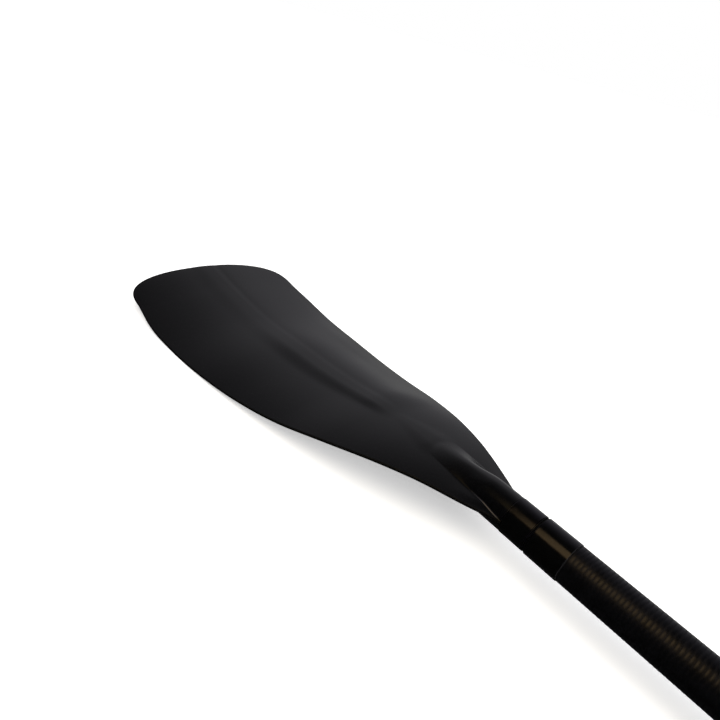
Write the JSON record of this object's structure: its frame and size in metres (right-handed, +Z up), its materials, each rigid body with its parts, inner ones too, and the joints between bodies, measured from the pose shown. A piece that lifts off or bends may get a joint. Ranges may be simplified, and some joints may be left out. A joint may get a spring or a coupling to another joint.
{
  "type": "adjustable paddleboard paddle",
  "caption": "Adjustable stand-up paddle: moulded cambered blade, take-down joint with lock button, carbon shaft, lever clamp and telescoping shaft with palm grip.",
  "frame": {"origin": "centre of the bottom of the bounding box, on the floor the paddle lies on", "axes": "+X along the paddle from the blade to the palm grip, +Y across the blade towards the clamp lever, +Z up, out of the blade face that the picture shows; as the paddle lies, its shaft dips 0.64 degrees towards the grip"},
  "size_m": [1.8394, 0.1942, 0.0497],
  "materials": {
    "blade_nylon": "satin moulded black with a broad soft sheen",
    "gloss_black": "glossy black",
    "carbon_tube": "satin-gloss near-black composite with the fine rings its wrapping tape leaves",
    "clamp_nylon": "fine-grained moulded black",
    "soft_rubber": "matt soft black",
    "steel": "bright turned stainless",
    "spring_steel": "rolled strip",
    "white_acetal": "smooth off-white",
    "closed_foam": "grey closed-cell foam",
    "grey_alloy": "drawn grey alloy"
  },
  "bodies": {
    "main": {"blade": "blade_nylon", "neck_collar": "gloss_black", "spigot_tube": "grey_alloy", "spigot_plug": "closed_foam", "joint_seal": "soft_rubber", "joint_ferrule": "gloss_black", "main_shaft": "carbon_tube", "shaft_plug": "closed_foam", "button_spring": "spring_steel", "clamp_body": "clamp_nylon", "clamp_liner": "white_acetal", "clamp_bolt": "steel", "bolt_washer": "steel", "cam_washer": "steel", "cam_pin": "steel"},
    "button": {"lock_button": "steel"},
    "lever": {"clamp_lever": "clamp_nylon"},
    "glide": {"glide_ring": "white_acetal"},
    "handle": {"handle_shaft": "carbon_tube", "end_plug": "clamp_nylon", "handle_collar": "soft_rubber", "t_handle": "clamp_nylon", "grip_cover": "soft_rubber"}
  },
  "joints": [
    {"name": "length_adjust", "type": "slide", "parent": "main", "child": "glide", "axis": [0.9999, 0, -0.0111], "range_m": [-0.1495, 0.285]},
    {"name": "handle_twist", "type": "hinge", "parent": "glide", "child": "handle", "pos_m": [0.8657, 0, 0.01662], "axis": [0.9999, 0, -0.0111], "continuous": true},
    {"name": "clamp_lever_open", "type": "hinge", "parent": "main", "child": "lever", "pos_m": [0.69039, 0.0164, 0.04307], "axis": [0.9999, 0, -0.0111], "range_deg": [0, 110]},
    {"name": "lock_button_press", "type": "slide", "parent": "main", "child": "button", "axis": [0.0111, 0, 0.9999], "range_m": [0, 0.0038], "stiffness_N_per_m": 1500, "springref_m": -0.002, "deforming": ["button_spring"]}
  ]
}
